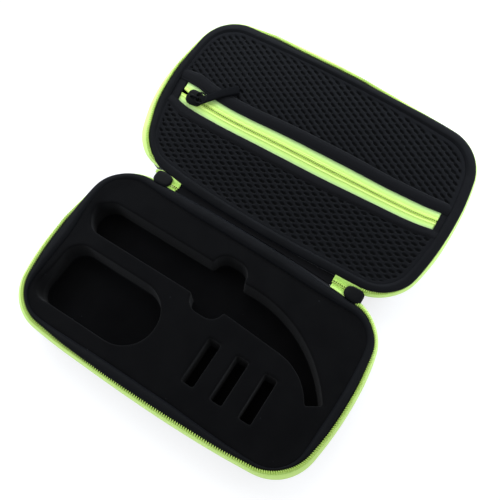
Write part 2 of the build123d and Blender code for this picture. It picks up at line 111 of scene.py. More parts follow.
table_mesh.materials.append(laminate)

# Besides the large lamp, four low strips stand round the case and light its sides and edges more than
# its middle. Each lamp has its place, the height it is aimed at, its length, width, power and tint.
plain_white = (1.0, 1.0, 1.0)
cool_white = (0.80, 0.89, 1.0)
lamps = (
    ("softbox", (-0.75, 0.75, 1.55), 0.0, 1.4, 1.4, 11.0, plain_white),
    ("strip_behind", (-0.03, 0.235, 0.13), 0.03, 0.36, 0.06, 0.38, cool_white),
    ("strip_left", (-0.20, 0.04, 0.11), 0.03, 0.24, 0.06, 0.19, cool_white),
    ("strip_front", (0.0, -0.17, 0.10), 0.03, 0.30, 0.06, 0.09, cool_white),
    ("strip_right", (0.175, 0.12, 0.13), 0.03, 0.24, 0.06, 0.15, cool_white),
)
for lamp_name, place, aim_height, length, width, power, tint in lamps:
    light = bpy.data.lights.new(lamp_name, "AREA")
    light.shape = "RECTANGLE"
    light.size = length
    light.size_y = width
    light.energy = power
    light.color = tint
    lamp = bpy.data.objects.new(lamp_name, light)
    lamp.location = place
    aim = case_middle + Vector((0, 0, aim_height)) - Vector(place)
    lamp.rotation_euler = aim.to_track_quat("-Z", "Y").to_euler()
    scene.collection.objects.link(lamp)

view_azimuth = 0.503
view_elevation = 1.169
view_roll = 0.070
view_distance = 0.4293
view_target = Vector((0.00496, 0.05496, 0.026))
view_lens = 46.59
flat = math.cos(view_elevation)
back = Vector((math.sin(view_azimuth) * flat, -math.cos(view_azimuth) * flat, math.sin(view_elevation)))
painted_twill_shade = Vector((0, 0, 1)).cross(back).normalized()
upward = back.cross(painted_twill_shade)
right = math.cos(view_roll) * painted_twill_shade + math.sin(view_roll) * upward
up = math.cos(view_roll) * upward - math.sin(view_roll) * painted_twill_shade
camera_data = bpy.data.cameras.new("camera")
camera_data.sensor_width = 36.0
camera_data.lens = view_lens
camera_data.clip_start = 0.01
camera = bpy.data.objects.new("camera", camera_data)
camera.matrix_world = Matrix((right, up, back)).transposed().to_4x4()
camera.location = view_target + back * view_distance
scene.collection.objects.link(camera)
scene.camera = camera

# --- Moulded shells and their linings ---
# Each half is EVA foam hot-pressed between an outer oxford cloth and an inner knit.
# The moulding is hard and keeps its own shape, so the solid stays and gets the two cloths.

cloth_pitch = 0.9
knit_pitch = 1.1
fuzz_per_mm = 0.9


def new_material(name, look):
    """A material with its output and a shader told of gloss and sheen, ready for its colour and relief."""
    material = bpy.data.materials.new(name)
    material.use_nodes = True
    nodes = material.node_tree
    nodes.nodes.clear()
    shader = add(nodes, "BsdfPrincipled", look)
    add(nodes, "OutputMaterial", links={"Surface": shader.outputs[0]})
    return material, nodes, shader


def coat(tree, shader, shade, tones, spread, height=None, depth=0.0, relief_mm=0.1):
    """Colours a shader by the shade, between two tones at their places in it, and raises it by the height."""
    tone = add(tree, "ValToRGB", links={0: shade})
    for stop, position, colour in zip(tone.color_ramp.elements, spread, tones):
        stop.position = position
        stop.color = linear(colour)
    tree.links.new(shader.inputs["Base Color"], tone.outputs[0])
    if height:
        bump = add(tree, "Bump", {"Strength": depth, "Distance": relief_mm / 1000}, {"Height": height})
        tree.links.new(shader.inputs["Normal"], bump.outputs[0])


def dress(node_names, material):
    """Puts one material on whole nodes of the frame."""
    for name in node_names:
        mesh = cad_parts[name].data
        mesh.materials.clear()
        mesh.materials.append(material)


# Oxford cloth, plain weave of black polyester: dull, with a faint grid of threads.
# The threads are drawn twice as coarse as real ones, so that they show.
look = {"Roughness": 0.72, "Specular IOR Level": 0.25, "Sheen Weight": 0.15}
oxford, tree, shader = new_material("oxford_cloth_black", look)
place = add(tree, "TexCoord").outputs["Object"]
split = add(tree, "SeparateXYZ", links={0: place})
thread_turns = 2 * math.pi * 1000 / cloth_pitch
threads = []
for axis in range(3):
    turns = add(tree, "Math", {"operation": "MULTIPLY", 1: thread_turns}, {0: split.outputs[axis]})
    threads.append(add(tree, "Math", {"operation": "SINE"}, {0: turns.outputs[0]}).outputs[0])
cross = add(tree, "Math", {"operation": "MULTIPLY"}, {0: threads[0], 1: threads[1]})
weave = add(tree, "Math", {"operation": "ADD"}, {0: cross.outputs[0], 1: threads[2]})
fuzz = add(tree, "TexNoise", {"Scale": 1000 * fuzz_per_mm, "Detail": 3.0}, {"Vector": place})
tones = ("101114", "191A1F")
coat(tree, shader, fuzz.outputs[0], tones, (0.3, 0.75), weave.outputs[0], depth=0.25, relief_mm=0.2)
dress(["base_shell", "lid_shell"], oxford)

# Warp-knit polyester, black: soft and lightless, with tiny loops.
knit, tree, shader = new_material("warp_knit_black", {"Roughness": 0.95, "Specular IOR Level": 0.15})
place = add(tree, "TexCoord").outputs["Object"]
loops = add(tree, "TexVoronoi", {"Scale": 1000 / knit_pitch}, {"Vector": place}).outputs[0]
coat(tree, shader, loops, ("17181C", "0D0E10"), (0.0, 1.0), loops, depth=0.3, relief_mm=0.2)
dress(["base_lining", "lid_lining"], knit)

# --- Padded rims ---
# A roll of foam under smooth stretch nylon, bound over the moulding's edge and sewn on its inner side.
# The cloth puckers a little where it is pulled round the corners.

case_length = 225.0
case_width = 133.6
end_crown = 10.2
side_crown = 5.4
corner_radius = 32.0
hinge_y = 64.7
hinge_z = 31.4
lid_angle = math.radians(-166)
rim_outer = 3.55
rim_foot = 25.2
rim_top = 30.95
rim_steps = 22
rim_spacing = 1.3
pucker = 0.16
pucker_size = 8.0
rim_slack = {"base": 1.0, "lid": 0.25}
# The case is soft: its edges wander a few millimetres from the drawn outline. Each list goes clockwise
# round a half in even steps from the middle of the hinge side, in millimetres, outward counted positive.
rim_lean = {
    "base": (0.0, -0.2, -0.7, -1.5, -1.3, 0.1, 1.6, 0.6, -0.2, -0.4, -0.9, -1.2, -0.1, 0.8, 0.6, 0.7)
    + (0.8, 1.0, 1.1, 1.2, 0.3, -0.7, -1.0, -1.0, -0.7, 1.1, 3.2, 2.3, 1.5, 1.1, 0.7, 0.2),
    "lid": (0.0, 0.0, 0.0, 0.0, 0.4, 0.7, 1.7, 1.8, 1.9, 2.3, 2.4, 2.6, 2.6, 2.2, 1.2, 0.6)
    + (0.4, 0.1, 0.1, 0.9, 1.6, 1.4, 1.1, 0.7, 0.2, -0.8, -3.7, -4.4, -1.7, 0.1, 0.2, 0.1),
}
edge_lean = {
    "base": (0.0, 0.0, 0.0, 0.0, 0.0, -0.1, 0.6, 0.4, -0.2, -0.4, -0.2, 0.1, -0.2, 0.0, 0.0, -0.1)
    + (-0.2, -0.2, -0.1, 0.3, 0.2, 0.0, 0.0, 0.0, -0.3, -0.2, 0.3, 0.2, 0.0, 0.0, 0.0, 0.0),
    "lid": (0.0, 0.0, 0.0, 0.0, -0.2, -0.7, -0.2, 0.1, -0.2, -0.1, -0.1, 0.1, 0.3, 0.1, 0.0, 0.2)
    + (0.8, 1.1, 1.1, 0.9, 0.1, -0.2, -0.4, 0.2, 1.6, 1.3, -0.9, -3.0, -4.6, -0.5, 0.0, 0.0),
}
rim_inner = {
    "base": (12.5, 12.6, 12.6, 12.3, 11.0, 8.6, 8.0, 9.2, 10.1, 10.0, 8.3, 6.5, 6.3, 7.4, 8.8, 10.1)
    + (10.4, 10.3, 9.5, 8.0, 6.6, 6.6, 9.0, 11.6, 12.2, 8.8, 6.0, 6.2, 8.0, 10.2, 11.4, 12.0),
    "lid": (10.6, 10.6, 10.6, 10.4, 9.8, 9.2, 8.8, 8.6, 8.5, 8.4, 8.3, 8.3, 8.4, 8.6, 8.8, 9.0)
    + (9.1, 9.2, 9.2, 9.2, 9.0, 8.8, 8.8, 9.0, 9.5, 11.0, 13.0, 13.6, 12.2, 11.2, 10.8, 10.6),
}


def outline_quarter(spacing):
    """Points and outward normals from the middle of the right-hand end to the middle of the hinge side."""
    half_length, half_width = case_length / 2, case_width / 2
    chords = ((half_width - side_crown, end_crown), (half_length - end_crown, side_crown))
    end_radius, side_radius = [(c * c + r * r) / (2 * r) for c, r in chords]
    end_centre = Vector((half_length - end_radius, 0))
    side_centre = Vector((0, half_width - side_radius))
    span = end_centre - side_centre
    reach = side_radius - corner_radius
    along = (reach**2 - (end_radius - corner_radius) ** 2 + span.length_squared) / (2 * span.length)
    across = math.sqrt(reach**2 - along**2)
    unit = span.normalized()
    corner = side_centre + unit * along + Vector((unit.y, -unit.x)) * across
    first = math.atan2(corner.y - end_centre.y, corner.x - end_centre.x)
    last = math.atan2(corner.y - side_centre.y, corner.x - side_centre.x)
    arcs = (
        (end_centre, end_radius, 0, first),
        (corner, corner_radius, first, last),
        (side_centre, side_radius, last, math.pi / 2),
    )
    points = []
    for centre, radius, start, stop in arcs:
        steps = max(2, round(radius * (stop - start) / spacing))
        for k in range(steps):
            angle = start + (stop - start) * k / steps
            normal = Vector((math.cos(angle), math.sin(angle)))
            points.append((centre + normal * radius, normal))
    points.append((Vector((0, half_width)), Vector((0, 1))))
    return points


def outline(spacing):
    """The whole outline, clockwise from the middle of the hinge side, as (point, normal, run, share)."""
    quarter = outline_quarter(spacing)
    turned = []
    for flip_x, flip_y, backwards in ((1, 1, True), (1, -1, False), (-1, -1, True), (-1, 1, False)):
        for pair in (quarter[::-1] if backwards else quarter)[:-1]:
            turned.append([Vector((v.x * flip_x, v.y * flip_y)) for v in pair])
    whole = sum((point - turned[k - 1][0]).length for k, (point, normal) in enumerate(turned))
    run, stations = 0.0, []
    for k, (point, normal) in enumerate(turned):
        run += (point - turned[k - 1][0]).length if k else 0.0
        stations.append((point, normal, run, run / whole))
    return stations


def smooth_between(a, b, c, d, t):
    """A smooth curve from b to c as t goes from 0 to 1, with a before them and d after."""
    return b + 0.5 * t * (c - a + t * (2 * a - 5 * b + 4 * c - d + t * (3 * (b - c) + d - a)))


def around(values, share):
    """A smooth value at a share of the way round, from values at even steps."""
    place = share % 1 * len(values)
    k = int(place)
    return smooth_between(*[values[(k + j) % len(values)] for j in (-1, 0, 1, 2)], place - k)


def held(value):
    """The value, held between 0 and 1."""
    return max(0.0, min(1.0, value))


# Distances to the outline are asked for often, so its points are kept in a search tree.
table_of_outline = outline(0.5)
tree_of_outline = KDTree(len(table_of_outline))
for k, station in enumerate(table_of_outline):
    tree_of_outline.insert((*station[0], 0), k)
tree_of_outline.balance()


def inside(x, y):
    """How far a point lies inside the outline, the normal there and the share of the way round."""
    point, normal, run, share = table_of_outline[tree_of_outline.find((x, y, 0))[1]]
    return (point.x - x) * normal.x + (point.y - y) * normal.y, normal, share


base_frame = Matrix.Scale(0.001, 4)
turn = Matrix.Rotation(lid_angle, 4, "X")
hinge = Matrix.Translation((0, hinge_y, hinge_z))
flip = Matrix.Translation((0, 0, 2 * hinge_z)) @ Matrix.Diagonal((1, 1, -1, 1))
lid_frame = base_frame @ hinge @ turn @ hinge.inverted() @ flip
halves = (("base", base_frame), ("lid", lid_frame))


def build(name, points, faces, place, finish, marks=None):
    """A smooth piece from millimetre points, set in place, with its finish and its cloth's marks in mm."""
    mesh = bpy.data.meshes.new(name)
    mesh.from_pydata(points, [], faces)
    if marks:
        layer = mesh.attributes.new("cloth_mm", "FLOAT_VECTOR", "POINT")
        layer.data.foreach_set("vector", [c for mark in marks for c in mark])
    mesh.transform(place)
    if place.determinant() < 0:
        mesh.flip_normals()
    mesh.validate()
    mesh.shade_smooth()
    thing = bpy.data.objects.new(name, mesh)
    scene.collection.objects.link(thing)
    thing.data.materials.append(finish)
    return thing


def grid_faces(rows, columns, wrap_rows=False, wrap_columns=False):
    """Quads over rows x columns of points, joined up at the ends where asked."""
    faces = []
    for r in range(rows if wrap_rows else rows - 1):
        for c in range(columns if wrap_columns else columns - 1):
            a, b = r * columns + c, r * columns + (c + 1) % columns
            d, e = (r + 1) % rows * columns + c, (r + 1) % rows * columns + (c + 1) % columns
            faces.append((a, d, e, b))
    return faces


def rim_profile(lean, inner, slack):
    """Cross-section of the roll as (inset, height): outer leg, crown, seam groove and inner leg."""
    outer = rim_outer - lean
    middle, reach = (outer + inner) / 2, (inner - outer) / 2
    shoulder = rim_foot + 2.2
    points = [(max(outer, 1.6) + 0.25, rim_foot), (max(outer, 1.2) + 0.05, rim_foot + 1.1)]
    for k in range(rim_steps + 1):
        angle = math.pi * k / rim_steps
        wide, tall = -math.cos(angle), math.sin(angle)
        ease = slack if wide > 0 else 0.0
        inset = middle + reach * math.copysign(abs(wide) ** (0.72 + 0.2 * ease), wide)
        height = shoulder + (rim_top - shoulder) * tall ** (0.62 + 0.3 * ease)
        groove = 0.3 * (1 - slack) * math.exp(-(((inset - inner + 1.15) / 0.33) ** 2))
        points.append((inset, height - groove))
    return points + [(inner - 0.05, rim_foot + 1.1), (inner - 0.25, rim_foot)]


def grained(name, look, grain, tones, spread=(0.0, 1.0), patches=None, depth=0.0, relief_mm=0.1):
    """A material with a raised grain, whose tone wanders with the grain or in patches.

    The grain and the patches are each given as how many go to a millimetre, and how rough they are.
    """
    material, tree, shader = new_material(name, look)
    place = add(tree, "TexCoord").outputs["Object"]
    noises = []
    for per_mm, detail in (grain, patches) if patches else (grain,):
        settings = {"Scale": 1000 * per_mm, "Detail": detail}
        noises.append(add(tree, "TexNoise", settings, {"Vector": place}).outputs[0])
    coat(tree, shader, noises[-1], tones, spread, noises[0] if depth else None, depth, relief_mm)
    return material


# Stretch nylon over foam: smooth, dark, with a soft blue-grey sheen where it turns from the light.
look = {"Roughness": 0.6, "Specular IOR Level": 0.08, "Sheen Weight": 0.14, "Sheen Roughness": 0.3}
look["Sheen Tint"] = linear("B9C3DE")
tones = ("07080A", "0B0C0F")
nylon = grained("stretch_nylon_black", look, (2.6, 2.0), tones, (0.3, 0.75), (0.045, 3.0), depth=0.22)

for body, where in halves:
    points = []
    for point, normal, run, share in outline(rim_spacing):
        section = rim_profile(around(rim_lean[body], share), around(rim_inner[body], share), rim_slack[body])
        for inset, height in section:
            spot = Vector((*(point - normal * inset), height))
            swell = noise.noise(spot / pucker_size) + 0.5 * noise.noise(spot / pucker_size * 2.7)
            raised = max(0.0, (height - rim_foot) / (rim_top - rim_foot))
            points.append(spot + Vector((0, 0, pucker * swell * raised)))
    columns = len(section)
    faces = grid_faces(len(points) // columns, columns, wrap_rows=True)
    rim = build(body + "_rim_roll", points, faces, where, nylon)
    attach(rim, body)
    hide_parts(body + "_rim")

# --- Main zip: tape and coil round the free edges ---
# Woven polyester tape dyed lime, sewn over the moulding's brow, and a nylon coil along its upper edge.
# The tape has a raised rib beside the coil, a ribbed field and a pale selvedge.

free_half = 81.0
tape_width = 8.4
tape_spacing = 1.2
coil_spacing = 0.6
coil_inset = 2.62
coil_height = 30.15
coil_reach = 0.82
coil_rise = 0.95
coil_pitch = 1.55
coil_wire = 0.36
coil_turn_steps = 10
wire_sides = 6
brow_foot = 26.0
brow_tall = 3.0
tuck_deep = 2.6
twill_pitch = 0.9
twill_slant = 0.8


def striped_twill(name, stripes, pitch):
    """Dyed twill tape: its stripes by their share of the width, and slanting ribs this far apart, with
    painted shade darkening the colour between the ribs.
    """
    look = {"Roughness": 0.85, "Specular IOR Level": 0.2, "Sheen Weight": 0.1}
    material, tree, shader = new_material(name, look)
    mark = add(tree, "Attribute", {"attribute_name": "cloth_mm"})
    split = add(tree, "SeparateXYZ", links={0: mark.outputs["Vector"]})
    along, across = split.outputs[0], split.outputs[1]
    share = add(tree, "Math", {"operation": "DIVIDE", 1: tape_width}, {0: across})
    bands = add(tree, "ValToRGB", links={0: share.outputs[0]})
    stops = bands.color_ramp.elements
    while len(stops) < len(stripes):
        stops.new(0.5)
    for stop, (position, colour) in zip(stops, stripes):
        stop.position = position
        stop.color = linear(colour)
    slant = add(tree, "Math", {"operation": "MULTIPLY_ADD", 1: twill_slant}, {0: across, 2: along})
    turns = add(tree, "Math", {"operation": "MULTIPLY", 1: 2 * math.pi / pitch}, {0: slant.outputs[0]})
    twill = add(tree, "Math", {"operation": "SINE"}, {0: turns.outputs[0]})
    # Painted shade: the colour is darkened in the grooves between the twill's ribs, following the same wave
    # as their relief.
    painted_twill_shade = add(tree, "Math", {"operation": "MULTIPLY_ADD", 1: 0.07, 2: 0.95}, {0: twill.outputs[0]})
    both = {6: bands.outputs[0], 7: painted_twill_shade.outputs[0]}
    shaded = add(tree, "Mix", {"data_type": "RGBA", "blend_type": "MULTIPLY", 0: 1.0}, both)
    bump = add(tree, "Bump", {"Strength": 0.35, "Distance": 0.0001}, {"Height": twill.outputs[0]})
    tree.links.new(shader.inputs["Base Color"], shaded.outputs[2])
    tree.links.new(shader.inputs["Normal"], bump.outputs[0])
    return material


# Dyed polyester tape, twill-woven: bright and matt, with painted shade between the ribs, pale selvedge.
# The twill is drawn at 0.9 mm where the real one is 0.5 mm, so that it shows.
# Painted highlight and painted shade: the bright stripe at 0.06 lies on the crest of the rib beside the coil,
# and the darker one at 0.17 on its outer flank.
stripes = (
    (0.00, "DCF884"),
    (0.06, "F0FFA4"),
    (0.12, "CCEE7C"),
    (0.17, "A8D45E"),
    (0.22, "D4F48C"),
    (0.50, "D8F694"),
    (0.60, "C8EA84"),
    (0.66, "E0FAB0"),
    (0.80, "E8FCC4"),
    (1.00, "DEF6B4"),
)
tape_cloth = striped_twill("woven_tape_lime", stripes, twill_pitch)

# Nylon monofilament, dyed with the tape: a slight gloss on each turn.
look = {"Roughness": 0.38, "Specular IOR Level": 0.4}
filament = grained("nylon_coil_lime", look, (0.5, 2.0), ("A4C450", "C2E070"))

# The tape's cross-section as (inset, height), from the coil down over the brow to the selvedge and back.
tape_section = (
    *((2.75, 29.05), (2.6, 29.45), (2.25, 29.5), (1.95, 29.2), (1.8, 28.75), (1.55, 28.6)),
    *((1.3, 28.25), (1.1, 28.05), (0.9, 27.75), (0.7, 27.55), (0.5, 27.2), (0.32, 26.95)),
    *((0.2, 26.6), (0.02, 26.35), (0.0, 25.95), (0.05, 25.5), (0.22, 25.1), (0.2, 24.6)),
    *((0.36, 24.2), (0.42, 23.75), (0.62, 23.5), (0.85, 23.6), (0.6, 25.9), (2.3, 28.6)),
)


def free_run(spacing):
    """The stretch of the outline that the open zip follows, from the right of the hinge round to the left."""
    return [s for s in outline(spacing) if not (s[0].y > 0 and abs(s[0].x) < free_half)]


def tube_faces(rings, sides):
    """Faces of a tube made of so many rings, each of so many points, with both ends closed."""
    last = rings * sides - 1
    ends = [tuple(range(sides)), tuple(range(last, last - sides, -1))]
    return grid_faces(rings, sides, wrap_columns=True) + ends


def wire_round(line, side, reach, rise, pitch, radius):
    """Points and faces of wire wound round a line of (spot, run), with the way to its side at each."""
    overhead = Vector((0, 0, 1))
    total = line[-1][1]
    count = round(total / pitch * coil_turn_steps)
    rings, at = [], 0
    for k in range(count + 1):
        run = total * k / count
        while at < len(line) - 2 and line[at + 1][1] < run:
            at += 1
        share = (run - line[at][1]) / max(1e-6, line[at + 1][1] - line[at][1])
        centre = line[at][0].lerp(line[at + 1][0], share)
        sideways = side[at].lerp(side[at + 1], share)
        angle = 2 * math.pi * k / coil_turn_steps
        rings.append(centre + sideways * (reach * math.cos(angle)) + overhead * (rise * math.sin(angle)))
    points = []
    for k, spot in enumerate(rings):
        ahead = (rings[min(k + 1, count)] - rings[max(k - 1, 0)]).normalized()
        first = ahead.cross(overhead).normalized()
        second = ahead.cross(first).normalized()
        for j in range(wire_sides):
            angle = 2 * math.pi * j / wire_sides
            points.append(spot + first * (radius * math.cos(angle)) + second * (radius * math.sin(angle)))
    return points, tube_faces(len(rings), wire_sides)


for body, where in halves:
    points, marks = [], []
    stations = free_run(tape_spacing)
    start = stations[0][2]
    for point, normal, run, share in stations:
        width = 0.0
        lean, roll = around(edge_lean[body], share), around(rim_lean[body], share)
        for k, (inset, height) in enumerate(tape_section):
            if k:
                width += math.dist(tape_section[k], tape_section[k - 1])
            upper = held((height - brow_foot) / brow_tall) * min(1.0, inset / tuck_deep)
            tuck = max(0.0, lean - roll) * upper
            sink = max(0.0, roll - lean) * 0.8 * upper
            points.append(Vector((*(point - normal * (inset - lean + tuck)), height - sink)))
            marks.append((run - start, min(width, tape_width), 0.0))
    faces = tube_faces(len(stations), len(tape_section))
    tape = build(body + "_tape", points, faces, where, tape_cloth, marks)
    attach(tape, body)
    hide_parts(body + "_zip_tape")

    stations = free_run(coil_spacing)
    line = []
    for point, normal, run, share in stations:
        lean, roll = around(edge_lean[body], share), around(rim_lean[body], share)
        inset = coil_inset - lean + 0.9 * max(0.0, lean - roll)
        height = coil_height - 1.1 * max(0.0, roll - lean)
        line.append((Vector((*(point - normal * inset), height)), run - stations[0][2]))
    side = [Vector((*normal, 0)) for point, normal, run, share in stations]
    points, faces = wire_round(line, side, coil_reach, coil_rise, coil_pitch, coil_wire)
    coil = build(body + "_coil", points, faces, where, filament)
    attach(coil, body)
    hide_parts(body + "_zip_coil")

# The lid's moulding draws in at its hinge-left corner with the tape, so its solid is eased there.
# The corner lies between two shares of the way round, and the easing comes in and goes out within them.
corner_from, corner_to = 0.72, 0.93
come_in, go_out = 0.03, 0.02
skin_deep = 6.0
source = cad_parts["lid_shell"]
skin_mesh = source.data.copy()
to_half = lid_frame.inverted() @ source.matrix_world
from_half = to_half.inverted()
for vertex in skin_mesh.vertices:
    spot = to_half @ vertex.co
    inset, normal, share = inside(spot.x, spot.y)
    near = held(min((share - corner_from) / come_in, (corner_to - share) / go_out))
    near *= held(2 - inset / skin_deep)
    if near:
        lean, roll = around(edge_lean["lid"], share), around(rim_lean["lid"], share)
        upper = held((spot.z - brow_foot + 1) / brow_tall)
        drawn = min(0.0, lean) * held(spot.z / brow_foot) - max(0.0, lean - roll) * upper
        vertex.co = from_half @ (spot + Vector((*(normal * drawn * near), 0)))
skin = bpy.data.objects.new("lid_shell_skin", skin_mesh)
skin.matrix_world = source.matrix_world
scene.collection.objects.link(skin)
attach(skin, "lid")
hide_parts("lid_shell")

# --- Tray insert ---
# One block of moulded EVA foam with a flocked velvet face, glued into the base.
# Moulding and flock leave every lip of the pockets softly rounded, and lint shows on the pile.

tray_voxel = 0.0007
tray_soften = 4
pile_wander = 0.00018
pile_patches = 90
lint_per_mm = 0.26
lint_size = 0.055
lint_share = 0.1
# The tray's edge is drawn under the rim: it moves from tray_inset to the rim's seam, less as one goes in.
# Along it the face swells up or dips in a groove, and groove_depth says how much of which, round the half.
tray_inset = 11.0
seam_gap = -1.9
edge_reach = 24.0
edge_belt = 16.5
edge_fade = 5.5
edge_lift = 1.6
edge_swell = 5.0
groove_drop = 0.9
groove_wide = 2.4
lip_foot = 20.0
lip_tall = 8.0
groove_depth = (1.0, 1.0, 1.0, 0.9, 0.6, 0.15, 0.15, 0.3, 0.4, 0.4, 0.2, 0.0, 0.0, 0.3, 0.5, 0.6)
groove_depth += (0.6, 0.6, 0.5, 0.4, 0.1, 0.1, 0.4, 0.6, 0.6, 0.3, 0.0, 0.1, 0.4, 0.7, 0.9, 1.0)

tray = bpy.data.objects.new("tray_velvet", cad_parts["tray_insert"].data.copy())
scene.collection.objects.link(tray)
remesh = tray.modifiers.new("remesh", "REMESH")
remesh.mode = "VOXEL"
remesh.voxel_size = tray_voxel
smooth = tray.modifiers.new("smooth", "SMOOTH")
smooth.factor = 0.5
smooth.iterations = tray_soften
settled = bpy.data.meshes.new_from_object(tray.evaluated_get(bpy.context.evaluated_depsgraph_get()))
tray.modifiers.clear()
tray.data = settled
for vertex in settled.vertices:
    spot = vertex.co * 1000
    inset, normal, share = inside(spot.x, spot.y)
    if inset < edge_reach and spot.z > lip_foot:
        raised = min(1.0, (spot.z - lip_foot) / lip_tall)
        seam = around(rim_inner["base"], share) + seam_gap
        near = held((edge_belt - inset) / edge_fade)
        shift = (tray_inset - seam) * near * near * (3 - 2 * near) * raised
        beyond = max(0.0, inset - shift - seam)
        depth = around(groove_depth, share)
        lift = edge_lift * (1 - depth) * math.exp(-((beyond / edge_swell) ** 2))
        lift -= groove_drop * depth * math.exp(-((beyond / groove_wide) ** 2))
        vertex.co += (Vector((*(normal * shift), lift * raised))) / 1000
    vertex.co.z += pile_wander * noise.noise(vertex.co * pile_patches)
settled.shade_smooth()

# Flock on foam: the deepest black of the case, faintly lit where the pile is seen edge-on.
# A few specks of pale lint lie on it.
look = {"Roughness": 1.0, "Specular IOR Level": 0.05, "Sheen Weight": 0.05, "Sheen Roughness": 0.5}
tones = ("060607", "0A0A0B")
velvet = grained(
    "flocked_velvet_black", look, (3.0, 2.0), tones, (0.3, 0.75), (0.06, 4.0), depth=0.5, relief_mm=0.2
)
tree = velvet.node_tree
pile_colour = tree.nodes["Principled BSDF"].inputs["Base Color"]
black = pile_colour.links[0].from_socket
place = add(tree, "TexCoord").outputs["Object"]
lint = add(tree, "TexVoronoi", {"Scale": 1000 * lint_per_mm, "Randomness": 1.0}, {"Vector": place})
near = add(tree, "Math", {"operation": "LESS_THAN", 1: lint_size}, {0: lint.outputs["Distance"]})
pick = add(tree, "SeparateColor", links={0: lint.outputs["Color"]})
rare = add(tree, "Math", {"operation": "GREATER_THAN", 1: 1 - lint_share}, {0: pick.outputs[0]})
speck = add(tree, "Math", {"operation": "MULTIPLY"}, {0: near.outputs[0], 1: rare.outputs[0]})
speckled = add(tree, "Mix", {"data_type": "RGBA", 7: linear("3A3C40")}, {0: speck.outputs[0], 6: black})
tree.links.new(pile_colour, speckled.outputs[2])
settled.materials.clear()
settled.materials.append(velvet)
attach(tray, "base")
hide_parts("tray_insert")

# --- Hinge cloths ---
# Two strips of black cloth join the halves: plain nylon inside between the rims, oxford cloth outside.
# They are glued and sewn to both halves, and are built as they lie folded at this opening of the lid.

hinge_half = 61.2
inner_half = 64.5
inner_rows = 15
inner_thick = 0.35
inner_crown = -0.2
hinge_top = 29.6
hinge_wrinkle = 0.1
outer_thick = 0.7
outer_ripple = 0.05
cloth_columns = 91


def last_inside(spot_at, low, high, inset):
    """How far one can go from low towards high and stay inside the outline by the inset."""
    for _ in range(22):
        middle = (low + high) / 2
        spot = spot_at(middle)
        if inside(spot.x, spot.y)[0] > inset:
            low = middle
        else:
            high = middle
    return low


def across_valley(x, height, side, inset=3.5):
    """Where the base's rim (side -1) or the lid's rim (side 1) faces the valley at this x and height."""
    back_edge = last_inside(lambda y: Vector((x, y)), 40.0, case_width / 2, inset)
    spot = Vector((x, back_edge, height, 1.0))
    if side > 0:
        spot = base_frame.inverted() @ lid_frame @ spot
    return Vector(spot[:3])


def both_sides(columns, rows):
    """Faces of a cloth with some thickness, from its upper points, as many lower ones, and its edge."""
    size = rows * columns
    top = grid_faces(columns, rows)
    under = [tuple(size + v for v in face[::-1]) for face in top]
    ring = list(range(rows)) + [i * rows + rows - 1 for i in range(1, columns)]
    ring += [(columns - 1) * rows + j for j in range(rows - 2, -1, -1)]
    ring += [i * rows for i in range(columns - 2, 0, -1)]
    return top + under + [(a, b, b + size, a + size) for a, b in zip(ring, ring[1:] + ring[:1])]


# The same black nylon, unpadded, coloured darker than the rim's as painted shade for the valley between the
# rims: almost black.
look = {"Roughness": 0.8, "Specular IOR Level": 0.06}
painted_shade_nylon = grained("plain_nylon_painted_shade", look, (2.2, 2.0), ("050506", "0A0A0C"), depth=0.3)

points, marks = [], []
for layer in (0, 1):
    for i in range(cloth_columns):
        x = -inner_half + 2 * inner_half * i / (cloth_columns - 1)
        near = across_valley(x, hinge_top, -1)
        far = across_valley(x, hinge_top, 1)
        far.z = near.z
        for j in range(inner_rows):
            share = j / (inner_rows - 1)
            spot = near.lerp(far, share)
            ripple = hinge_wrinkle * noise.noise(Vector((x / 7, share * 2.2, 5.0)))
            spot.z += inner_crown * math.sin(math.pi * share) + ripple - inner_thick * layer
            points.append(spot)
            marks.append((x, share * tape_width, 0.0))
faces = both_sides(cloth_columns, inner_rows)
inner_cloth = build("hinge_strip_inner", points, faces, base_frame, painted_shade_nylon, marks)
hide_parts("hinge_cloth_inner")
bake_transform(inner_cloth)

# The outer cloth's profile as (y, height) up the base's back, and the same again down the lid's.
# Its leaf lies flat on the moulding, which leans in as it goes down.
flat_line = 62.3
flat_slope = math.tan(math.radians(7))
leaf_gap = 0.4
leaf_heights = (16.0, 18.0, 20.0, 22.0, 24.0)
outer_rows = [(flat_line - (brow_foot - z) * flat_slope + leaf_gap, z) for z in leaf_heights]
outer_rows += [(63.75, 25.2), (64.0, 26.2), (64.0, 27.0), (64.15, 27.75), (64.55, 28.2)]
mirrored = [Vector((0, y, z, 1.0)) for y, z in outer_rows[::-1]]
mirrored = [base_frame.inverted() @ lid_frame @ spot for spot in mirrored]
outer_rows += [(spot.y, spot.z) for spot in mirrored]
points = []
for layer in (0, 1):
    for i in range(cloth_columns):
        x = -hinge_half + 2 * hinge_half * i / (cloth_columns - 1)
        for j, (y, z) in enumerate(outer_rows):
            ahead = outer_rows[min(j + 1, len(outer_rows) - 1)]
            behind = outer_rows[max(j - 1, 0)]
            along = Vector((ahead[0] - behind[0], ahead[1] - behind[1])).normalized()
            ripple = outer_ripple * noise.noise(Vector((x / 8, j / 3.0, 9.0)))
            out = outer_thick * (layer - 0.5) + ripple
            points.append(Vector((x, y + along.y * out, z - along.x * out)))
faces = both_sides(cloth_columns, len(outer_rows))
outer_cloth = build("hinge_strip_outer", points, faces, base_frame, oxford)
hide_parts("hinge_cloth_outer")
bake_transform(outer_cloth)

# --- Closed ends of the main zip ---
# Beside the hinge the two tapes meet in a short closed chain that the slider sits on.
# The tapes reach under both rims and part in a V at the slider's nose.

